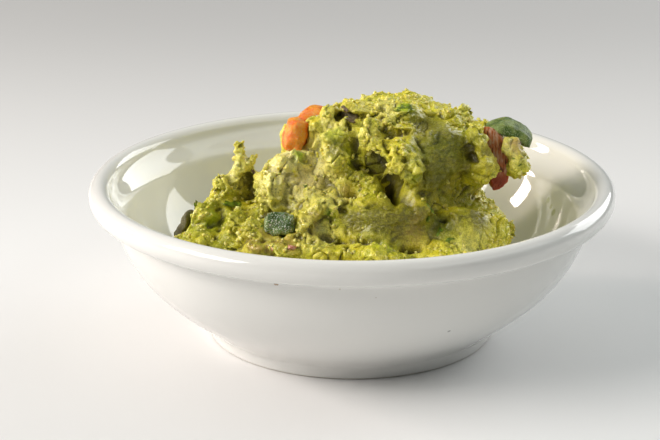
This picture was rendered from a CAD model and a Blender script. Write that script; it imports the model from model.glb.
import math

import bmesh
import bpy
import numpy as np
from mathutils import Euler, Matrix, Vector, noise
from mathutils.bvhtree import BVHTree


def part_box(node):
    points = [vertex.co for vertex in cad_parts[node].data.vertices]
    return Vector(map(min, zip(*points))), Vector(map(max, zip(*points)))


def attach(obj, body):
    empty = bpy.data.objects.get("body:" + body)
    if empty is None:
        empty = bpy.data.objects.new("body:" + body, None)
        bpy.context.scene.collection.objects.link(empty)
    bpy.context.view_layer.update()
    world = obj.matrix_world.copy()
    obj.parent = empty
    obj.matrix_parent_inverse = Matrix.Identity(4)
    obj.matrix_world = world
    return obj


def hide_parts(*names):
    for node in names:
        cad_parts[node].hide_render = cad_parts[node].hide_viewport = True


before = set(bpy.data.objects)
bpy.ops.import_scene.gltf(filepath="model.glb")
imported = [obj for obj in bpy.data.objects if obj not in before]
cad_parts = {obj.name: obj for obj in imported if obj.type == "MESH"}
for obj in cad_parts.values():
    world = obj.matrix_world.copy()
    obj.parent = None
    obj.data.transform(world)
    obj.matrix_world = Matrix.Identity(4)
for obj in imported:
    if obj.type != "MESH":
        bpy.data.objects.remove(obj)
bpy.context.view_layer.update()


# ---- Bowl ----------------------------------------------------------------------------------------
# A restaurant bowl of white vitrified china, jiggered over a mould, with a thick rolled lip and a foot ring.
# It is dipped in a clear, faintly grey-green glaze, and the edge that it stands on is wiped bare for firing.
MM = 0.001
bowl_low, bowl_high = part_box("bowl")
rim_radius = bowl_high.x
lip_half_width = 3.2 * MM
lip_drop = 4.2 * MM
wall = 4.6 * MM
foot_radius = 43.8 * MM
foot_width = 4.0 * MM
foot_height = 4.4 * MM
foot_recess = 1.8 * MM
foot_edge = 0.6 * MM
floor_radius = 30.0 * MM
floor_height = 6.2 * MM
bowl_segments = 240


class Wire:
    """A node's output in a finish. Sums and products of wires add Math nodes to it."""

    def __init__(self, finish, socket):
        self.finish = finish
        self.socket = socket

    def math(self, operation, *values):
        return self.finish.add("ShaderNodeMath", {"operation": operation}, dict(enumerate(values)))

    def __add__(self, other):
        return self.math("ADD", self, other)

    def __sub__(self, other):
        return self.math("SUBTRACT", self, other)

    def __rsub__(self, other):
        return self.math("SUBTRACT", other, self)

    def __mul__(self, other):
        return self.math("MULTIPLY", self, other)

    def __truediv__(self, other):
        return self.math("DIVIDE", self, other)

    __radd__ = __add__
    __rmul__ = __mul__


class Finish:
    """The nodes of a material or of the world."""

    def __init__(self, owner, shader="Principled BSDF"):
        owner.use_nodes = True
        self.owner = owner
        self.tree = owner.node_tree
        self.shader = self.tree.nodes[shader]

    def add(self, kind, settings=None, inputs=None, output=0):
        node = self.tree.nodes.new(kind)
        for name, value in (settings or {}).items():
            setattr(node, name, value)
        for name, value in (inputs or {}).items():
            self.feed(node.inputs[name], value)
        return Wire(self, node.outputs[output])

    def feed(self, socket, value):
        if isinstance(value, Wire):
            self.tree.links.new(value.socket, socket)
        elif socket.type == "RGBA" and len(value) == 3:
            socket.default_value = (*value, 1.0)
        else:
            socket.default_value = value

    def set(self, **values):
        """Feeds the shader: Base_Color stands for its Base Color socket."""
        for name, value in values.items():
            self.feed(self.shader.inputs[name.replace("_", " ")], value)

    def place(self):
        return self.add("ShaderNodeTexCoord", output="Object")

    def noise(self, place, size, detail=3.0, roughness=0.5):
        return self.add("ShaderNodeTexNoise", None,
                        {"Vector": place, "Scale": 1 / size, "Detail": detail, "Roughness": roughness})

    def ramp(self, value, low, high):
        """0 below low, 1 above high, smooth between them."""
        return self.add("ShaderNodeMapRange", {"interpolation_type": "SMOOTHSTEP"},
                        {"Value": value, "From Min": low, "From Max": high})

    def mix(self, factor, first, second):
        return self.add("ShaderNodeMix", {"data_type": "RGBA"}, {0: factor, 6: first, 7: second}, 2)

    def bump(self, height, distance, strength=1.0):
        return self.add("ShaderNodeBump", None, {"Height": height, "Distance": distance, "Strength": strength})


def new_finish(name):
    return Finish(bpy.data.materials.new(name))


def arc(centre, radii, start, end, steps):
    """Points on an ellipse of the (radius, height) plane, angles in degrees."""
    points = []
    for step in range(steps + 1):
        angle = math.radians(start + (end - start) * step / steps)
        points.append(Vector((centre[0] + radii[0] * math.cos(angle), centre[1] + radii[1] * math.sin(angle))))
    return points


def bezier(start, start_handle, end_handle, end, steps):
    points = []
    for step in range(steps + 1):
        t = step / steps
        points.append(start * (1 - t) ** 3 + start_handle * 3 * t * (1 - t) ** 2
                      + end_handle * 3 * t * t * (1 - t) + end * t ** 3)
    return points


def pointing(degrees):
    return Vector((math.cos(math.radians(degrees)), math.sin(math.radians(degrees))))


def moved_in(points, distance):
    moved = []
    for i, point in enumerate(points):
        along = points[min(i + 1, len(points) - 1)] - points[max(i - 1, 0)]
        along.normalize()
        moved.append(point + Vector((-along.y, along.x)) * distance)
    return moved


def turned(name, profile, segments):
    """A solid of revolution from a profile that starts and ends on the axis."""
    bm = bmesh.new()
    rings = []
    for point in profile:
        if point[0] < 1e-6:
            rings.append([bm.verts.new((0, 0, point[1]))])
            continue
        ring = []
        for i in range(segments):
            angle = 2 * math.pi * i / segments
            ring.append(bm.verts.new((point[0] * math.cos(angle), point[0] * math.sin(angle), point[1])))
        rings.append(ring)
    for lower, upper in zip(rings, rings[1:]):
        for i in range(segments):
            corners = [lower[i % len(lower)], lower[(i + 1) % len(lower)],
                       upper[(i + 1) % len(upper)], upper[i % len(upper)]]
            bm.faces.new(list(dict.fromkeys(corners)))
    bmesh.ops.recalc_face_normals(bm, faces=bm.faces)
    mesh = bpy.data.meshes.new(name)
    bm.to_mesh(mesh)
    bm.free()
    return mesh


def piece(name, mesh, finish):
    """A piece of the object: shown smooth, in its finish, on the one body."""
    shown = bpy.data.objects.new(name, mesh)
    bpy.context.scene.collection.objects.link(shown)
    mesh.materials.clear()
    mesh.materials.append(finish.owner)
    mesh.shade_smooth()
    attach(shown, "root")
    return shown


lip_centre = Vector((rim_radius - lip_half_width, bowl_high.z - lip_half_width))
wall_foot = Vector((foot_radius + 1.9 * MM, foot_height))
wall_top = Vector((rim_radius - 6.3 * MM, lip_centre.y - lip_drop - 0.7 * MM))
outer_wall = bezier(wall_foot, wall_foot + pointing(38) * 15.3 * MM,
                    wall_top - pointing(77) * 20.2 * MM, wall_top, 30)
foot = ([Vector((0, foot_recess)), Vector((foot_radius - foot_width - 1.2 * MM, foot_recess))]
        + [Vector((foot_radius - foot_width - 0.2 * MM, foot_edge * 0.4)),
           Vector((foot_radius - foot_width + 0.2 * MM, 0))]
        + arc((foot_radius - foot_edge, foot_edge), (foot_edge * 1.3, foot_edge), -90, 0, 5)
        + bezier(Vector((foot_radius + 0.3 * MM, foot_edge * 1.6)), Vector((foot_radius + 0.8 * MM, 2.4 * MM)),
                 wall_foot - pointing(38) * 1.0 * MM, wall_foot, 6)[:-1])
lip = (bezier(wall_top, wall_top + pointing(77) * 0.6 * MM,
              lip_centre + Vector((lip_half_width * 0.3, -lip_drop * 1.06)),
              lip_centre + Vector((lip_half_width * 0.62, -lip_drop * 0.80)), 5)[1:-1]
       + arc(lip_centre, (lip_half_width, lip_drop), -52, 0, 9)
       + arc(lip_centre, (lip_half_width, lip_half_width), 10, 156, 22))
inner_wall = moved_in(outer_wall, wall)[:-2]
floor_edge = Vector((floor_radius, floor_height))
inside_from_lip = bezier(lip[-1], lip[-1] + pointing(-100) * 3.5 * MM,
                         inner_wall[-1] + pointing(77) * 3 * MM, inner_wall[-1], 12)[1:]
inside_to_floor = bezier(inner_wall[0], inner_wall[0] - pointing(34) * 5 * MM,
                         floor_edge + pointing(0) * 5 * MM, floor_edge, 8)[1:]
inside = inside_from_lip + inner_wall[-2::-1] + inside_to_floor + [Vector((0, floor_height))]

china = new_finish("white_china")
china_place = china.place()
china_height = china.add("ShaderNodeSeparateXYZ", None, {0: china_place}, "Z")
bare = 1 - china.ramp(china_height, 0.2 * MM, 0.7 * MM)
clouds = china.noise(china_place, 30 * MM, 2.0)
china_body = china.mix(clouds, (0.78, 0.775, 0.745), (0.80, 0.80, 0.775))
specks = (((-20.4, -70.0, 39.3), 0.45, (0.40, 0.30, 0.20)), ((-19.9, -70.2, 39.3), 0.45, (0.40, 0.30, 0.20)),
          ((27.3, -58.6, 21.3), 0.55, (0.42, 0.42, 0.40)), ((-3, -72.7, 39), 0.35, (0.60, 0.57, 0.50)),
          ((6.7, -71.7, 36.3), 0.3, (0.60, 0.58, 0.52)), ((62.4, 22.4, 33.5), 1.2, (0.52, 0.54, 0.30)),
          ((63.0, 19.2, 32.4), 0.9, (0.56, 0.57, 0.36)), ((63.4, 16, 31.6), 1.3, (0.54, 0.55, 0.32)))
for speck, size, shade in specks:
    off = china.add("ShaderNodeVectorMath", {"operation": "DISTANCE"},
                    {0: china_place, 1: [value * MM for value in speck]}, 1)
    china_body = china.mix(1 - china.ramp(off, size * 0.5 * MM, size * 1.2 * MM), china_body, shade)
china.set(Base_Color=china.mix(bare, china_body, (0.62, 0.58, 0.52)),
          Roughness=0.035 + 0.03 * clouds + 0.6 * bare,
          IOR=1.52,
          Normal=china.bump(china.noise(china_place, 9 * MM, 1.0), 0.05 * MM, 0.35))

bowl = piece("china_bowl", turned("china_bowl", foot + outer_wall + lip + inside, bowl_segments), china)
bowl.data.set_sharp_from_angle(angle=math.radians(60))
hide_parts("bowl")


# ---- Heap of mash --------------------------------------------------------------------------------
# Ripe avocado, roughly mashed with a fork and spooned into the bowl in dollops, so that soft curds, torn
# ridges and clefts stand between panels smeared flat by the spoon. Wet, glossy and a little translucent.
core_voxel = 1.2 * MM
core_inset = 0.7 * MM
mash_voxel = 0.45 * MM
heap_triangles = 190000
curd_count = 900
ridge_count = 110
panels = (((26.5, -19.5, 63.5), 8.5), ((26, -22, 56), 8.0), ((31.5, -19.5, 60), 7.0), ((23, -12, 69.5), 5.0),
          ((8.5, -35, 47), 6.5), ((16.5, -34.6, 46), 8.0), ((27, -30, 45), 6.0), ((1, -33.6, 45.3), 4.0),
          ((36, -27, 44), 4.6), ((-4.3, -20.5, 63), 3.0))
# named curds: middle of the shown face, half width, half height, all in millimetres, and turn in degrees
named_curds = (
    ((-4.3, -17.2, 66.3), 3.7, 2.5, 8), ((-4.3, -21.6, 61.8), 4.0, 3.3, 0), ((3.8, -17.6, 67.6), 2.5, 4.6, 18),
    ((7.2, -19.3, 66.2), 3.1, 2.8, -10), ((13.5, -13.8, 69.3), 4.5, 2.2, 12), ((13.2, -26.6, 63.6), 3.6, 3.4, 0),
    ((17.4, -25.6, 58.6), 4.4, 4.2, 0), ((12.2, -26.8, 59.2), 2.6, 2.2, 0), ((15.8, -25, 54.4), 3.6, 3.0, 0),
    ((4.1, -4.6, 72.3), 4.8, 2.0, 6), ((8.2, -6.2, 72.0), 2.2, 2.6, -30), ((14.4, -8.4, 73.2), 4.6, 2.2, -6),
    ((-5.6, -8.6, 70.0), 2.2, 2.6, 30), ((-8.6, -9.2, 69.2), 2.0, 2.4, -24), ((-2.4, -9.6, 69.4), 1.8, 2.6, 36),
    ((-10.4, -10.2, 67.8), 2.4, 2.2, 0), ((-14.5, -15.0, 59.3), 1.7, 2.6, 14), ((-9.9, -13.2, 62.4), 1.5, 3.8, 20),
    ((36.1, -15.3, 66.2), 2.7, 3.8, 4), ((39.4, -19.4, 58.8), 2.5, 2.8, 0), ((47.6, -15.6, 56.2), 2.8, 2.4, -20),
    ((-34.1, -28.6, 41.6), 2.6, 4.2, 10), ((-29.3, -31.6, 42.0), 3.2, 2.6, 0), ((-27, -38.4, 39.3), 3.2, 2.4, 8),
    ((-20.3, -39.4, 40.4), 2.6, 2.0, 0), ((-19.7, -41.4, 37.6), 3.6, 1.2, 4), ((-5.4, -30.2, 48.9), 2.6, 2.4, 0),
    ((-9.6, -32, 47.8), 1.9, 4.0, 12), ((-13, -35.2, 44.5), 2.2, 3.0, 8), ((-8.1, -37.6, 43.6), 2.6, 2.0, 0),
    ((-38.2, -16.7, 50.3), 2.4, 3.3, 0), ((-43.3, -21.5, 44.1), 3.4, 3.4, 0), ((-22.3, -24, 51), 3.0, 4.2, 16),
    ((-18, -20.2, 57.7), 3.2, 2.4, 30), ((8.1, -43.2, 39.4), 4.0, 2.2, 24), ((25.4, -39, 38), 4.2, 1.8, 0),
    ((15.8, -41.4, 37.8), 1.8, 1.0, 0), ((31.4, -36.6, 37.4), 3.2, 1.8, 0), ((45.2, -15.0, 64.2), 2.6, 2.4, 0),
    ((21.8, -22.6, 52.2), 1.6, 3.6, -8), ((22.8, -18.4, 66.5), 1.4, 2.8, 0), ((-0.6, -22.8, 54.6), 2.0, 1.6, 0),
    ((46.9, -14.2, 60.0), 1.8, 2.4, 0), ((40.4, -17.8, 62.6), 1.5, 3.6, 6), ((41.4, -18.8, 55.2), 1.8, 2.2, 0),
    ((48.0, -12.0, 63.0), 2.0, 1.6, -20), ((46.2, -15.8, 57.6), 1.9, 2.6, 8), ((41.8, -17.0, 58.8), 1.4, 2.6, -6),
    ((45.4, -13.6, 64.4), 1.6, 1.4, 0), ((43.0, -15.4, 66.2), 1.6, 1.2, 0), ((3.2, -24.0, 54.8), 2.2, 1.8, 0), ((0.2, -10.8, 68.0), 2.4, 1.2, 0),
    ((3.2, -9.8, 70.0), 1.5, 1.5, 0), ((-10.6, -24.4, 54.2), 2.6, 2.4, 0), ((-25.8, -23.6, 46.6), 2.6, 2.6, 0),
)
# the shred that stands up at the left, and its side prong: middles and radii, in millimetres
shred = ((-34.6, -14.2, 47.4, 1.7), (-34.2, -12.8, 50.0, 1.8), (-33.4, -11.8, 52.4, 2.1), (-32.6, -11.2, 54.6, 2.2),
         (-32.9, -10.6, 56.8, 1.9), (-33.2, -10.2, 58.8, 1.6), (-33.7, -9.8, 60.9, 1.4), (-32.5, -9.8, 61.2, 1.1),
         (-30.6, -10.6, 54.4, 1.5), (-29.6, -10.3, 56.0, 1.2), (-29.0, -10.2, 57.2, 0.9), (-29.6, -10.6, 52.6, 1.2))
# clefts pressed into the heap: from, to, half width and depth, in millimetres
clefts = (
    ((1.6, -20, 58.6), (7.6, -22.4, 57.6), 1.4, 2.8), ((7.6, -22.4, 57.6), (12.4, -25, 52), 1.8, 5.0),
    ((12.4, -25, 52), (17.5, -28.6, 50.6), 1.7, 4.2), ((9.4, -19, 65.2), (11.4, -22, 61.6), 1.3, 2.4),
    ((10.6, -17.4, 67.4), (15.2, -17.6, 67.2), 1.2, 2.2), ((-3.4, -25.6, 51.3), (0.2, -25.4, 51.2), 1.3, 4.2),
    ((20.4, -23.4, 60.6), (21.2, -23.4, 54.6), 1.2, 2.2), ((19.6, -18.4, 66.8), (20.6, -22, 62.2), 1.0, 1.6),
    ((-12.4, -14.6, 57.8), (-6.4, -20.4, 58), 1.2, 1.6), ((-9.4, -12.6, 65.4), (-8.2, -15.8, 62.2), 1.2, 1.8),
    ((0.8, -15.4, 65.6), (1.0, -19.4, 61.4), 1.2, 2.2), ((34.2, -16.6, 64.2), (35.4, -18.6, 58.8), 1.3, 1.8),
    ((-10.4, -34.8, 44), (-11.6, -36.2, 43), 1.1, 2.2), ((-15.8, -37.6, 41.9), (-14.8, -37.8, 41.6), 0.9, 1.8),
    ((-8, -36.6, 42.4), (8, -38.4, 40.8), 1.2, 2.6), ((15.4, -37, 38.6), (19.0, -36.6, 38.4), 1.2, 3.2),
    ((25.7, -27.6, 44.8), (26.6, -28, 44.2), 1.3, 1.8), ((-29.6, -12, 51), (-30.8, -14.4, 47), 1.3, 3.0),
    ((-13.6, -11.4, 61.2), (-12.2, -12.2, 64.2), 1.0, 1.8), ((-22.4, -33.8, 46.2), (-24.4, -36.6, 42.4), 1.0, 1.6),
)
# stains: middle, radius, and how strong, in millimetres
browned_spots = (((-26, -38, 40), 6, 0.9), ((-19, -39.6, 40.4), 4, 0.8), ((48.4, -12.6, 61.5), 3.4, 1.0),
                 ((-2.7, -8.3, 72.3), 2.6, 0.8), ((-13, -22, 55), 4.5, 0.5), ((-11, -35, 45), 5, 0.4),
                 ((20, -34, 42.5), 5, 0.5), ((44, -15, 60), 4, 0.5), ((-1.6, -25.3, 51), 2.6, 1.0))
herby_spots = (((-38, -27, 42), 9, 0.9), ((-27, -34, 41), 8, 0.7), ((-43, -21, 43), 6, 0.7), ((27, -20, 62.5), 8, 0.55), ((25.5, -22, 56), 6.5, 0.45), ((16, -10, 73.2), 3.4, 0.9),
               ((25, -30, 42), 4.0, 0.8), ((-4, -20.8, 60.4), 3.2, 0.6), ((2, -24, 57), 3.4, 0.5),
               ((-43, -31, 39), 5.5, 0.5), ((-10, -39, 39.6), 5, 0.4), ((-16, -19, 57), 2.4, 0.7),
               ((27.5, -6, 71.5), 5, 0.5), ((32, -20.5, 52), 4, 0.5), ((-34, -29, 38), 4, 0.4))
creamy_spots = (((-17, -18, 56), 11, 1.2), ((-7, -27, 51), 6, 0.5), ((-22, -25, 49), 6, 0.5), ((-5, -12, 68), 5, 0.35),
                ((8, -7, 72), 7, 0.5), ((-34, -12, 54), 6, 0.5), ((15, -26, 58), 4, 0.2), ((4, -18, 66), 4, 0.2),
                ((45, -15, 62), 6, 0.5), ((24, -14, 69), 5, 0.4), ((-10, -37, 43), 6, 0.4), ((36, -36, 38), 6, 0.3), ((0, 30, 48), 21, 0.5),
                ((-28, 22, 42), 16, 0.45), ((30, 20, 48), 17, 0.45), ((-38, 2, 42), 9, 0.4), ((44, 2, 50), 8, 0.4))
limy_spots = (((-14.7, -14.5, 59.2), 2.2, 1.0), ((-16.8, -15.5, 55.2), 1.5, 0.7), ((15.4, -9.6, 73.4), 2.8, 0.8),
              ((-5.2, -17.0, 66.6), 3.2, 0.35), ((-6, -31, 46.4), 1.6, 0.7), ((-2, -19, 59.5), 3.5, 0.35),
              ((-40, -24, 42.5), 3.0, 0.35), ((8, -40.5, 38.6), 3.0, 0.4), ((17.5, -26, 56.5), 2.2, 0.5))


def unit_ball(rounds):
    bm = bmesh.new()
    bmesh.ops.create_icosphere(bm, subdivisions=rounds, radius=1)
    bm.verts.index_update()
    points = np.array([vert.co for vert in bm.verts])
    faces = np.array([[vert.index for vert in face.verts] for face in bm.faces])
    bm.free()
    return points, faces


def torn_ball(seed, rounds, roughness):
    """A ball of radius 1 torn to an uneven, slightly angular shape."""
    points, faces = unit_ball(rounds)
    shift = Vector((seed * 7.3, seed * 3.1, seed * 5.7))
    radius = [1 + roughness * (noise.noise(Vector(point) * 1.5 + shift) + 0.6 * noise.noise(Vector(point) * 3.3 + shift))
              for point in points]
    return points * np.array(radius)[:, None], faces


def curds(centres, shapes, rounds, roughness=0.6, kinds=12):
    """Points and faces of many torn balls; each shape is a 3 by 3 matrix that stretches and turns one."""
    centres, shapes = np.asarray(centres), np.asarray(shapes)
    parts = []
    for kind in range(kinds):
        points, faces = torn_ball(kind, rounds, roughness)
        places, turns = centres[kind::kinds], shapes[kind::kinds]
        placed = places[:, None] + np.einsum("nij,pj->npi", turns, points)
        numbered = faces[None] + np.arange(len(places))[:, None, None] * len(points)
        parts.append((placed.reshape(-1, 3), numbered.reshape(-1, 3)))
    return joined(*parts)


def mesh_of(name, points, faces):
    mesh = bpy.data.meshes.new(name)
    mesh.from_pydata(points.tolist(), [], faces.tolist())
    return mesh


def arrays_of(mesh):
    """A mesh's points and triangles."""
    mesh.calc_loop_triangles()
    points = np.empty(len(mesh.vertices) * 3)
    mesh.vertices.foreach_get("co", points)
    faces = np.empty(len(mesh.loop_triangles) * 3, dtype=np.int32)
    mesh.loop_triangles.foreach_get("vertices", faces)
    return points.reshape(-1, 3), faces.reshape(-1, 3)


def joined(*parts):
    points, faces, count = [], [], 0
    for part_points, part_faces in parts:
        points.append(part_points)
        faces.append(part_faces + count)
        count += len(part_points)
    return np.concatenate(points), np.concatenate(faces)


def remeshed(name, points, faces, voxel, smoothing):
    """One skin round all of the closed shapes, evened out by rounds of smoothing."""
    holder = bpy.data.objects.new(name, mesh_of(name, points, faces))
    bpy.context.scene.collection.objects.link(holder)
    remesh = holder.modifiers.new("remesh", "REMESH")
    remesh.mode = "VOXEL"
    remesh.voxel_size = voxel
    smooth = holder.modifiers.new("smooth", "SMOOTH")
    smooth.iterations = smoothing
    depsgraph = bpy.context.evaluated_depsgraph_get()
    depsgraph.update()
    mesh = bpy.data.meshes.new_from_object(holder.evaluated_get(depsgraph))
    bpy.data.objects.remove(holder)
    return mesh


def normals_of(mesh):
    normals = np.empty(len(mesh.vertices) * 3)
    mesh.vertex_normals.foreach_get("vector", normals)
    return normals.reshape(-1, 3)


def nearness(points, spots):
    """For each point, how far it is inside the strongest of some soft round spots."""
    most = np.zeros(len(points))
    for spot in spots:
        distance = np.linalg.norm(points - np.array(spot[0]) * MM, axis=1) / (spot[1] * MM)
        strength = spot[2] if len(spot) > 2 else 1.0
        most = np.maximum(most, strength * np.clip(1.6 - 1.1 * distance, 0, 1))
    return most


def wall_radius(heights):
    """The radius of the bowl's inside at some heights."""
    line = np.array([tuple(point) for point in inside[::-1]])
    return np.interp(heights, line[:, 1], line[:, 0])


def kept_in_bowl(points, gap):
    """Points that would be in the china are moved in towards the bowl's axis."""
    radius = np.hypot(points[:, 0], points[:, 1])
    room = wall_radius(np.clip(points[:, 2], 0, bowl_high.z)) - gap
    shrink = np.where((points[:, 2] < bowl_high.z) & (radius > room), room / np.maximum(radius, 1e-9), 1.0)
    kept = points.copy()
    kept[:, :2] *= shrink[:, None]
    kept[:, 2] = np.maximum(kept[:, 2], floor_height + gap)
    return kept


def random_turn(random):
    return np.array(Euler(random.uniform(0, 2 * math.pi, 3)).to_matrix())


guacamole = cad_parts["guacamole"]
core_points, core_faces = arrays_of(guacamole.data)
core = remeshed("core", core_points, core_faces, core_voxel, 3)
skin_points, skin_faces = arrays_of(core)
skin_normals = normals_of(core)
toppings = ("tomato_dice", "tomato_slice", "tomato_wedge", "pepper_slice", "pepper_chunk", "onion_piece", "skin_flake")


def topping_distance(points):
    """How far each point is from the nearest topping's box."""
    nearest = np.full(len(points), 1.0)
    for topping in toppings:
        low, high = (np.array(corner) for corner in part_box(topping))
        outside = np.maximum(np.maximum(low - points, points - high), 0)
        nearest = np.minimum(nearest, np.linalg.norm(outside, axis=1))
    return nearest


def step_up(values, low, high):
    """0 below low, 1 above high, smooth between them."""
    t = np.clip((values - low) / (high - low), 0, 1)
    return t * t * (3 - 2 * t)


skin_points -= skin_normals * (core_inset * (1 + 1.1 * step_up(skin_points[:, 2], 62 * MM, 69 * MM)) * step_up(topping_distance(skin_points), 0.5 * MM, 2.5 * MM)
                               * step_up(skin_points[:, 2], 28 * MM, 32 * MM))[:, None]
skin_tree = BVHTree.FromPolygons(skin_points.tolist(), skin_faces.tolist())


def on_skin(point):
    """The nearest point on the heap's skin, and the skin's normal there."""
    spot, normal, _, _ = skin_tree.find_nearest(Vector(point))
    return np.array(spot), np.array(normal)


random = np.random.default_rng(11)
named_centres, named_shapes = [], []
for place, half_width, half_height, turn in named_curds:
    spot, normal = on_skin(Vector(place) * MM)
    depth = 0.55 * (half_width + half_height) * MM
    shape = np.array(Matrix.Rotation(math.radians(turn), 3, "Y")) @ np.diag((half_width, depth / MM, half_height)) * 1.15 * MM
    named_centres.append(spot - normal * depth * 0.48)
    named_shapes.append(shape)

roughness_here = 1 - 0.93 * nearness(skin_points, panels)
bare_skin = (skin_points[:, 2] > 30 * MM) & (np.hypot(skin_points[:, 0], skin_points[:, 1])
                                             < wall_radius(skin_points[:, 2]) - 1.5 * MM)
topping_room = topping_distance(skin_points)
bare_skin &= topping_room > 0.1 * MM
for still in (shred[3], (-24, -8, 57), (-20.5, -8, 62)):
    bare_skin &= np.linalg.norm(skin_points - np.array(still[:3]) * MM, axis=1) > 6 * MM
weights = np.where(bare_skin, roughness_here, 0)
curd_centres, curd_shapes = [], []
for i in random.choice(len(skin_points), curd_count, p=weights / weights.sum()):
    size = min((0.8 + 2.6 * random.random() ** 2.2) * MM, topping_room[i] + 0.6 * MM)
    stretch = np.diag(random.uniform(0.6, 1.4, 3)) * size
    curd_centres.append(skin_points[i] - skin_normals[i] * size * random.uniform(0.45, 0.95))
    curd_shapes.append(random_turn(random) @ stretch)
for across, deep, up, radius in shred:
    named_centres.append(np.array((across, deep, up)) * MM)
    named_shapes.append(random_turn(random) @ np.diag((0.85, 1.0, 1.1)) * radius * MM)
for i in random.choice(len(skin_points), ridge_count, p=weights / weights.sum()):
    size = random.uniform(0.6, 1.1) * MM
    heading = np.cross(skin_normals[i], random.normal(size=3))
    heading /= np.linalg.norm(heading)
    spot = skin_points[i]
    for step in range(random.integers(4, 10)):
        curd_centres.append(spot.copy())
        curd_shapes.append(random_turn(random) * size * random.uniform(0.75, 1.15))
        heading += random.normal(size=3) * 0.35
        heading /= np.linalg.norm(heading)
        spot, normal = on_skin(spot + heading * size * 0.8)
        spot = spot + normal * size * 0.05

lumpy = remeshed("mash", *joined((skin_points, skin_faces), curds(named_centres, named_shapes, 3, 0.5),
                                 curds(curd_centres, curd_shapes, 2)), mash_voxel, 3)
points, faces = arrays_of(lumpy)
normals = normals_of(lumpy)
smeared = nearness(points, panels)


def patches(points, size, shift=0.0):
    return np.array([noise.noise(Vector(point) / size + Vector((shift, shift, shift))) for point in points])


def cell_places(cells):
    """A repeatable random place in each cell of a grid."""
    seed = cells[:, 0] * 73856093 ^ cells[:, 1] * 19349663 ^ cells[:, 2] * 83492791
    places = np.empty(cells.shape)
    for axis in range(3):
        seed = (seed ^ seed >> 15) * 2246822519 & 0x7FFFFFFF
        places[:, axis] = seed / 0x80000000
    return places


def domes(points, size):
    """Round-topped grains of uneven outline, about one to each size, from 0 in the seams to 1 on top."""
    warp = np.stack([patches(points, 0.8 * size, shift) for shift in (1.7, 11.3, 23.9)], axis=1)
    spots = points / size + 0.45 * warp
    own_cells = np.floor(spots).astype(np.int64)
    nearest = np.full(len(points), 9.0)
    for step in np.ndindex(3, 3, 3):
        cells = own_cells + np.array(step) - 1
        nearest = np.minimum(nearest, ((cells + cell_places(cells) - spots) ** 2).sum(axis=1))
    return 1 - nearest


def drag_lines(points, size):
    """Fine lines left by the spoon, four times longer across than down."""
    stretched = points * (0.22, 0.5, 1.0) / size
    return np.array([noise.noise(Vector(point)) for point in stretched])


exposed = step_up(points[:, 2], 26 * MM, 30 * MM)
exposed *= step_up(wall_radius(np.clip(points[:, 2], 0, bowl_high.z)) - np.hypot(points[:, 0], points[:, 1]),
                   0.2 * MM, 1.2 * MM) * (points[:, 2] < bowl_high.z) + (points[:, 2] >= bowl_high.z)
def creases(points, size, width, shift):
    """Thin folds between soft lobes of about a size, from 0 on the lobes to 1 in the fold."""
    return np.exp(-(patches(points, size, shift) / width) ** 2)


crumbly = np.clip(0.8 + 1.2 * patches(points, 8 * MM), 0.35, 1.2) * (1 - 0.75 * smeared) * exposed
relief = -1.0 * MM * creases(points, 5.5 * MM, 0.07, 5.1) * crumbly
relief -= 0.32 * MM * creases(points, 2.6 * MM, 0.10, 9.3) * crumbly
relief += 0.36 * MM * (domes(points, 1.8 * MM) - 0.7) * crumbly
relief += 0.18 * MM * patches(points, 1.1 * MM, 2.7) * crumbly
relief -= 1.0 * MM * step_up(patches(points, 3.2 * MM, 8.8), 0.32, 0.55) * crumbly
relief += 0.45 * MM * drag_lines(points, 1.5 * MM) * smeared * exposed
relief += 0.42 * MM * patches(points, 1.0 * MM, 1.9) * smeared * exposed
relief += 0.50 * MM * patches(points, 4.0 * MM, 4.4) * smeared * exposed
for start, end, half_width, depth in clefts:
    start, end = np.array(start) * MM, np.array(end) * MM
    along = np.clip((points - start) @ (end - start) / ((end - start) @ (end - start)), 0, 1)
    offset = points - start - along[:, None] * (end - start)
    outwards = on_skin((start + end) / 2)[1]
    offset -= 0.7 * (offset @ outwards)[:, None] * outwards
    away = np.linalg.norm(offset, axis=1) / (half_width * MM)
    relief -= depth * MM * np.exp(-away ** 2)
points = kept_in_bowl(points + normals * relief[:, None], 0.12 * MM)


def thinned(name, points, faces, most):
    """The mesh with its flattest triangles merged, down to a number of triangles."""
    holder = bpy.data.objects.new(name, mesh_of(name, points, faces))
    bpy.context.scene.collection.objects.link(holder)
    thin = holder.modifiers.new("thin", "DECIMATE")
    thin.ratio = min(1.0, most / len(faces))
    depsgraph = bpy.context.evaluated_depsgraph_get()
    depsgraph.update()
    mesh = bpy.data.meshes.new_from_object(holder.evaluated_get(depsgraph))
    bpy.data.objects.remove(holder)
    return mesh


heap_mesh = thinned("mash_heap", points, faces, heap_triangles)
points, faces = arrays_of(heap_mesh)
smeared = nearness(points, panels)


def neighbour_mean(values, edges):
    """Each point's mean over its neighbours."""
    count = np.maximum(np.bincount(edges.ravel(), minlength=len(values)), 1)
    mean = np.empty_like(values)
    for axis in range(values.shape[1]):
        mean[:, axis] = (np.bincount(edges[:, 0], values[edges[:, 1], axis], len(values))
                         + np.bincount(edges[:, 1], values[edges[:, 0], axis], len(values))) / count
    return mean


def standing_out(mesh, rounds):
    """How far each point stands out of the mesh once it is smoothed that many times, in metres."""
    edges = np.empty(len(mesh.edges) * 2, dtype=np.int32)
    mesh.edges.foreach_get("vertices", edges)
    edges = edges.reshape(-1, 2)
    points, _ = arrays_of(mesh)
    even = points
    for _ in range(rounds):
        even = 0.5 * even + 0.5 * neighbour_mean(even, edges)
    return np.einsum("ij,ij->i", points - even, normals_of(mesh))


def store(mesh, name, values):
    layer = mesh.attributes.new(name, "FLOAT", "POINT")
    layer.data.foreach_set("value", np.asarray(values, dtype=np.float32))


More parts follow.
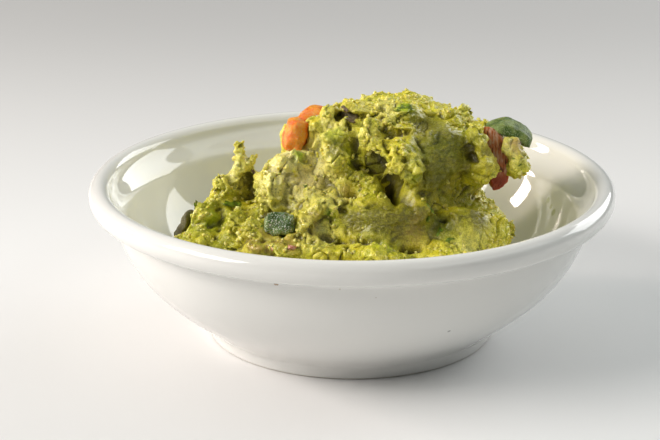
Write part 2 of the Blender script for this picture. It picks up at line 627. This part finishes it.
store(heap_mesh, "standing", np.clip(0.5 + 0.5 * standing_out(heap_mesh, 14) / (0.4 * MM), 0, 1))
store(heap_mesh, "sunken", step_up(-standing_out(heap_mesh, 110), 0.3 * MM, 1.9 * MM)
      * (1 - 0.55 * nearness(points, creamy_spots)))
store(heap_mesh, "browned", nearness(points, browned_spots))
store(heap_mesh, "herby", nearness(points, herby_spots))
store(heap_mesh, "limy", nearness(points, limy_spots))
store(heap_mesh, "creamy", nearness(points, creamy_spots))
store(heap_mesh, "smeared", smeared)

mash = new_finish("avocado_mash")
mash_place = mash.place()
top_of_curd = mash.add("ShaderNodeAttribute", {"attribute_name": "standing"}, None, "Fac")
deep = mash.add("ShaderNodeAttribute", {"attribute_name": "sunken"}, None, "Fac")
brown_here = mash.add("ShaderNodeAttribute", {"attribute_name": "browned"}, None, "Fac")
lime_here = mash.add("ShaderNodeAttribute", {"attribute_name": "limy"}, None, "Fac")
cream_here = mash.add("ShaderNodeAttribute", {"attribute_name": "creamy"}, None, "Fac")
smooth_here = mash.add("ShaderNodeAttribute", {"attribute_name": "smeared"}, None, "Fac")
herb_here = mash.add("ShaderNodeAttribute", {"attribute_name": "herby"}, None, "Fac")
broad = mash.noise(mash_place, 9 * MM, 2.0)
middling = mash.noise(mash_place, 3 * MM, 3.0)
fine = mash.noise(mash_place, 0.8 * MM, 3.0, 0.6)
speckle = mash.noise(mash_place, 0.42 * MM, 2.0)
strokes = mash.noise(mash.add("ShaderNodeMapping", None, {"Vector": mash_place, "Scale": (0.25, 0.6, 1.0)}),
                     0.55 * MM, 2.0)
flesh = mash.mix(mash.ramp(broad, 0.38, 0.62), (0.72, 0.63, 0.004), (0.50, 0.505, 0.003))
flesh = mash.mix(mash.ramp(middling, 0.50, 0.70) * 0.5, flesh, (0.88, 0.77, 0.03))
flesh = mash.mix(mash.ramp(1 - middling, 0.52, 0.72) * 0.6, flesh, (0.33, 0.38, 0.003))
flesh = mash.mix(cream_here * 0.75, flesh, (0.98, 0.89, 0.42))
flesh = mash.mix(mash.ramp(top_of_curd, 0.5, 0.95) * 0.45, flesh, (0.95, 0.86, 0.12))
flesh = mash.mix(mash.ramp(1 - top_of_curd, 0.55, 1.0) * 0.65, flesh, (0.17, 0.145, 0.001))
panel = mash.mix(mash.ramp(0.6 * strokes + 0.4 * fine, 0.38, 0.62), (0.07, 0.062, 0.001), (0.21, 0.195, 0.002))
flesh = mash.mix(smooth_here * 0.85, flesh, panel)
flesh = mash.mix(mash.ramp(speckle, 0.50, 0.62) * (0.4 - 0.25 * smooth_here), flesh, (0.93, 0.84, 0.16))
flesh = mash.mix(mash.ramp(1 - speckle, 0.52, 0.64) * 0.35, flesh, (0.16, 0.14, 0.001))
flesh = mash.mix(herb_here * 0.6 * mash.ramp(middling, 0.3, 0.6), flesh, (0.14, 0.20, 0.012))
flesh = mash.mix(brown_here * 0.7 * mash.ramp(middling, 0.3, 0.6), flesh, (0.42, 0.24, 0.07))
flesh = mash.mix(lime_here * 0.8, flesh, (0.44, 0.66, 0.01))
flesh = mash.mix(deep * 0.75, flesh, (0.035, 0.026, 0.001))
mash.set(Base_Color=flesh,
         Roughness=0.20 + 0.28 * fine, Specular_IOR_Level=0.55, Coat_Weight=0.3, Coat_Roughness=0.12,
         Subsurface_Weight=0.15, Subsurface_Radius=(1.0, 0.8, 0.1), Subsurface_Scale=0.4 * MM,
         Normal=mash.bump(fine + 0.8 * speckle + 0.8 * smooth_here * strokes, 0.36 * MM, 1.0))

heap = piece("mash_heap", heap_mesh, mash)
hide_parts("guacamole")


# ---- Cut toppings --------------------------------------------------------------------------------
# Diced tomato and green pepper, a bit of dark onion and a flake of avocado skin, cut with a knife and folded
# into the mash. Each sits in the hollow that it pressed there, wet all over.
def refined(node, voxel, smoothing, rough, size, cuts=()):
    """A CAD piece with a fine, uneven skin, pared flat along cuts: a direction, and how far out in half sizes."""
    source_points, source_faces = arrays_of(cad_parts[node].data)
    mesh = remeshed(node, source_points, source_faces, voxel, smoothing)
    fine_points, fine_faces = arrays_of(mesh)
    normals = normals_of(mesh)
    height = patches(fine_points, size) + 0.4 * patches(fine_points, size / 2.7)
    fine_points = fine_points + normals * (height * rough + 0.15 * MM)[:, None]
    low, high = (np.array(corner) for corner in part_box(node))
    for direction, distance in cuts:
        direction = np.array(Vector(direction).normalized())
        reach = np.abs(direction) @ (high - low) / 2 * distance
        over = np.maximum((fine_points - (low + high) / 2) @ direction - reach, 0)
        fine_points -= over[:, None] * direction * 0.9
    return mesh_of(node, fine_points, fine_faces)


def wet_flesh(name, first, second, size, sparkle=0.0, gloss=0.2, clear=0.3, cell_colour=(0.80, 0.84, 0.70)):
    """The finish of a cut piece: two colours in patches, fine grain, and white sparkling cells if it has any."""
    finish = new_finish(name)
    place = finish.place()
    blotches = finish.ramp(finish.noise(place, size, 3.0), 0.35, 0.65)
    grain = finish.noise(place, 0.45 * MM, 3.0, 0.6)
    cells = finish.ramp(finish.noise(place, 0.38 * MM, 1.0), 0.52, 0.64) * sparkle
    finish.set(Base_Color=finish.mix(cells, finish.mix(blotches, first, second), cell_colour),
               Roughness=gloss + 0.2 * grain,
               Subsurface_Weight=clear, Subsurface_Radius=(1.0, 0.45, 0.15), Subsurface_Scale=1.2 * MM,
               Normal=finish.bump(grain + cells, 0.3 * MM, 1.0))
    return finish


def laid(tree, place, half_sizes, turn, sunk=0.3):
    """Where a flat bit lies on a surface, and the matrix that stretches and turns it there."""
    spot, normal, _, _ = tree.find_nearest(Vector(place) * MM)
    across = Vector((0, 0, 1)).cross(normal)
    across = (across if across.length > 0.1 else Vector((1, 0, 0))).normalized()
    across = Matrix.Rotation(math.radians(turn), 3, normal) @ across
    frame_here = np.array(Matrix((across, normal.cross(across), normal)).transposed())
    return (np.array(spot - normal * half_sizes[2] * sunk * MM), frame_here @ np.diag(half_sizes) * MM)


def bits(name, tree, places, rounds, roughness, sunk=0.3):
    """A mesh of torn bits, each with its place, half sizes and turn."""
    set_down = [laid(tree, place, half_sizes, turn, sunk) for place, half_sizes, turn in places]
    return mesh_of(name, *curds([centre for centre, _ in set_down], [shape for _, shape in set_down],
                                rounds, roughness, min(12, len(set_down))))


dice_flesh = wet_flesh("tomato_dice", (0.88, 0.17, 0.008), (0.95, 0.40, 0.05), 3 * MM, 0.12, 0.15, 0.45)
ripe_tomato = wet_flesh("ripe_tomato", (0.50, 0.10, 0.02), (0.62, 0.24, 0.08), 2.4 * MM)
wedge_low, wedge_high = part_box("tomato_wedge")
wedge_place = ripe_tomato.place()
up_wedge = ripe_tomato.add("ShaderNodeSeparateXYZ", None, {0: wedge_place}, "Z")
foot_here = 1 - ripe_tomato.ramp(up_wedge, wedge_low.z + 3 * MM, wedge_low.z + 6 * MM)
skin_lines = ripe_tomato.noise(ripe_tomato.add("ShaderNodeMapping", None, {"Vector": wedge_place, "Scale": (1, 1, 0.2)}),
                               0.7 * MM, 2.0)
skin_here = ripe_tomato.ramp(skin_lines, 0.42, 0.62) * (1 - foot_here) * 0.7
wedge_colour = ripe_tomato.mix(skin_here, (0.58, 0.17, 0.05), (0.78, 0.55, 0.40))
wedge_colour = ripe_tomato.mix(ripe_tomato.ramp(1 - skin_lines, 0.58, 0.7), wedge_colour, (0.10, 0.03, 0.015))
ripe_tomato.set(Base_Color=ripe_tomato.mix(foot_here, wedge_colour, (0.34, 0.045, 0.012)))
pepper = wet_flesh("green_pepper", (0.06, 0.12, 0.012), (0.26, 0.34, 0.08), 3 * MM, 0.45, 0.25, 0.3, (0.50, 0.60, 0.28))
pale_pepper = wet_flesh("pale_pepper", (0.05, 0.11, 0.012), (0.22, 0.31, 0.09), 3.4 * MM, 0.75, 0.25, 0.3, (0.85, 0.88, 0.74))
onion = wet_flesh("dark_onion", (0.09, 0.065, 0.025), (0.22, 0.16, 0.08), 2 * MM, 0.1)
flake = wet_flesh("skin_flake", (0.09, 0.075, 0.025), (0.17, 0.15, 0.07), 2 * MM, 0.1, 0.35)
cut_pieces = (
    ("tomato_dice", dice_flesh, "tomato", 0.7, (((-1, -0.6, 0.1), 0.62), ((0.9, -1, 0), 0.66), ((0.1, -0.3, 1), 0.80),
                                                 ((0.5, -0.4, -1), 0.72), ((-0.8, -0.2, 0.9), 0.66))),
    ("tomato_slice", dice_flesh, "tomato", 0.3, (((-0.2, -1, 0.6), 0.5), ((-0.6, 0, 1), 0.72))),
    ("tomato_wedge", ripe_tomato, "tomato_skin", 0.5, (((0.1, -1, 0.1), -0.3), ((-1, -0.4, -0.2), 0.34),
                                                        ((1, -0.4, 0.1), 0.30))),
    ("pepper_slice", pepper, "pepper", 0.3, (((0.2, -1, 0.5), 0.55), ((-0.3, 0.1, 1), 0.66), ((1, -0.2, -0.3), 0.8))),
    ("pepper_chunk", pale_pepper, "pepper", 0.5, (((-0.2, -1, 0.4), 0.72), ((-1, -0.3, 0.4), 0.74))),
    ("onion_piece", onion, "onion", 0.6, (((0, -1, 0.6), 0.0), ((-1, -0.4, 0.4), 0.1))),
    ("skin_flake", flake, "onion", 0.4, (((-0.6, -1, 0.2), 0.5),)),
)
for node, finish, slot, rough, cuts in cut_pieces:
    topping = piece("cut_" + node, refined(node, 0.4 * MM, 1, rough * MM, 2.2 * MM, cuts), finish)
    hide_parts(node)


# ---- Herbs and dark bits -------------------------------------------------------------------------
# Coriander leaves chopped with the mash, and bits of browned avocado and onion skin, which stick to its wet
# surface. The bits are thin and torn, and curl a little.
heap_tree = BVHTree.FromPolygons(points.tolist(), faces.tolist())
leaf_bits = [((15.9, -10.2, 73.2), (2.1, 1.0, 0.35), 20), ((13.2, -11.4, 72.6), (1.2, 0.7, 0.3), 60),
             ((-46, -18, 44), (1.7, 1.3, 0.35), 70), ((-47, -19, 42.5), (0.9, 0.8, 0.3), 0),
             ((-35.8, -18.4, 45.9), (2.1, 1.3, 0.45), -20), ((-33.6, -18.8, 44.8), (1.2, 0.9, 0.4), 30),
             ((-6.5, -31.3, 46.7), (1.0, 0.5, 0.3), 40), ((23.8, -29.6, 47.8), (1.7, 0.9, 0.3), 50),
             ((25.1, -30.3, 40.7), (1.8, 0.9, 0.3), 80), ((22.6, -31, 44.4), (1.0, 0.7, 0.3), 100),
             ((28, -33, 39), (1.2, 0.7, 0.3), 10), ((-13.4, -20.4, 50.5), (0.8, 0.5, 0.25), 0),
             ((-21.5, -17.0, 53.5), (1.1, 0.7, 0.3), -30), ((5.6, -14.2, 69.2), (0.9, 0.6, 0.3), 10)]
dark_bits = [((0.4, -9.9, 69.6), (1.7, 1.0, 0.5), 10), ((-2.7, -8.3, 72.3), (1.9, 0.6, 0.4), -12),
             ((-41.3, -15.9, 48.2), (1.5, 1.0, 0.4), 80), ((49.3, -12.6, 61.5), (1.4, 1.2, 0.5), 30),
             ((-8.0, -20.4, 60.2), (0.8, 0.5, 0.3), 20), ((-30.0, -11.6, 50.8), (0.9, 1.6, 0.5), 0)]
pink_bits = [((-17.1, -40.5, 39.7), (1.1, 0.9, 0.6), 20), ((-21.4, -39.4, 38.4), (0.8, 0.5, 0.4), -10)]
random = np.random.default_rng(23)
for _ in range(70):
    place = skin_points[random.choice(len(skin_points), p=weights / weights.sum())] / MM
    size = random.uniform(0.3, 0.75)
    leaf_bits.append((place, (size, size * random.uniform(0.4, 0.8), 0.2), random.uniform(0, 180)))
herb = wet_flesh("coriander_leaf", (0.085, 0.14, 0.004), (0.20, 0.30, 0.01), 1.2 * MM, 0.0, 0.3)
browned = wet_flesh("browned_bit", (0.07, 0.045, 0.018), (0.18, 0.12, 0.06), 1.2 * MM, 0.15)
pink = wet_flesh("pink_onion", (0.70, 0.22, 0.16), (0.80, 0.45, 0.35), 1.2 * MM, 0.1)
piece("herb_leaves", bits("herb_leaves", heap_tree, leaf_bits, 3, 0.9), herb)
piece("browned_bits", bits("browned_bits", heap_tree, dark_bits, 3, 0.6, 0.9), browned)
piece("pink_bits", bits("pink_bits", heap_tree, pink_bits, 3, 0.8), pink)


# ---- Loose grains --------------------------------------------------------------------------------
# The finest crumbs of mashed avocado, which cling all over the heap where the fork tore it and lie along its
# foot. They are paler than the mash, because they are roughed up and catch the light.
grain_count = 2300
grain_centres, grain_shapes = [], []
grain_weights = np.where(points[:, 2] > 31 * MM, (1 - smeared) ** 3 * (0.15 + step_up(patches(points, 5 * MM, 3.3), 0.0, 0.3)), 0)
grain_weights *= np.hypot(points[:, 0], points[:, 1]) < wall_radius(points[:, 2]) - 1.2 * MM
for node in toppings:
    low, high = (np.array(corner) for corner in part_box(node))
    grain_weights *= ~np.all((points > low - 0.6 * MM) & (points < high + 0.6 * MM), axis=1)
heap_normals = normals_of(heap_mesh)
for i in random.choice(len(points), grain_count, p=grain_weights / grain_weights.sum()):
    size = (0.28 + 0.45 * random.random() ** 2) * MM
    grain_centres.append(points[i] + heap_normals[i] * size * random.uniform(-0.3, 0.5))
    grain_shapes.append(random_turn(random) @ np.diag(random.uniform(0.6, 1.3, 3)) * size)
crumb = wet_flesh("mash_crumb", (0.78, 0.69, 0.05), (0.93, 0.84, 0.26), 1.5 * MM, 0.15, 0.25, 0.2)
piece("loose_grains", mesh_of("loose_grains", *curds(grain_centres, grain_shapes, 2, 0.9)), crumb)


# ---- Table, light and camera ---------------------------------------------------------------------
# A plain pale table in a studio: a low window-like light from behind on the left, a second one behind on the
# right, and soft light from all round.
scene = bpy.context.scene
table_mesh = bpy.data.meshes.new("table")
table_mesh.from_pydata([(-3, -2, 0), (3, -2, 0), (3, 4, 0), (-3, 4, 0)], [], [(0, 1, 2, 3)])
table = bpy.data.objects.new("table", table_mesh)
scene.collection.objects.link(table)
paint = new_finish("table_paint")
far = paint.ramp(paint.add("ShaderNodeSeparateXYZ", None, {0: paint.place()}, "Y"), 0.0, 0.5)
paint.set(Base_Color=paint.mix(far, (0.76, 0.76, 0.76), (0.46, 0.46, 0.46)), Roughness=0.7)
table_mesh.materials.append(paint.owner)


def panel_light(name, azimuth, elevation, distance, width, height, radiance, colour, seen_by=("diffuse", "glossy")):
    """A flat light that faces the bowl. Azimuth is measured from +X towards +Y; width and height in degrees."""
    data = bpy.data.lights.new(name, "AREA")
    data.shape = "RECTANGLE"
    data.size = 2 * distance * math.tan(math.radians(width / 2))
    data.size_y = 2 * distance * math.tan(math.radians(height / 2))
    data.energy = radiance * math.pi * data.size * data.size_y
    data.color = colour
    light = bpy.data.objects.new(name, data)
    around, up = math.radians(azimuth), math.radians(elevation)
    away = Vector((math.cos(around) * math.cos(up), math.sin(around) * math.cos(up), math.sin(up)))
    light.location = Vector((0, 0, 0.04)) + away * distance
    light.rotation_mode = "QUATERNION"
    light.rotation_quaternion = away.to_track_quat("Z", "Y")
    light.visible_diffuse = "diffuse" in seen_by
    light.visible_glossy = "glossy" in seen_by
    scene.collection.objects.link(light)


panel_light("key", 160, 15, 1.7, 7, 16, 52, (1.0, 0.87, 0.80))
panel_light("left_window", 201, 33, 1.5, 32, 24, 11.5, (1.0, 0.95, 0.90))
panel_light("back_window", 43, 22, 1.6, 40, 24, 5, (1.0, 1.0, 1.0))
panel_light("right_panel", -20, 44, 1.6, 60, 16, 1.2, (0.95, 1.0, 1.0))

world = bpy.data.worlds.new("room")
world.use_nodes = True
scene.world = world
room = Finish(world, "Background")
direction = room.add("ShaderNodeTexCoord", output="Generated")
rise = room.add("ShaderNodeSeparateXYZ", None, {0: direction}, "Z")
front = room.add("ShaderNodeSeparateXYZ", None, {0: direction}, "Y") * -1
mirrored = room.add("ShaderNodeLightPath", output="Is Glossy Ray")
brightness = (0.18 + 0.50 * rise) * (1 - 0.88 * room.ramp(front, 0.0, 0.6)) * (1 - 0.92 * mirrored)
room.set(Color=(0.95, 1.0, 0.965), Strength=brightness)

camera_data = bpy.data.cameras.new("camera")
camera_data.lens = 100.04
camera_data.sensor_width = 36
camera = bpy.data.objects.new("camera", camera_data)
camera.location = (0, -0.53235, 0.21316)
camera.rotation_mode = "QUATERNION"
pitch, yaw, roll = math.radians(18.6), math.radians(-0.706), math.radians(0.081)
camera.rotation_quaternion = (Matrix.Rotation(-yaw, 3, "Z") @ Matrix.Rotation(math.pi / 2 - pitch, 3, "X")
                              @ Matrix.Rotation(roll, 3, "Z")).to_quaternion()
scene.collection.objects.link(camera)
scene.camera = camera
scene.view_settings.view_transform = "Standard"
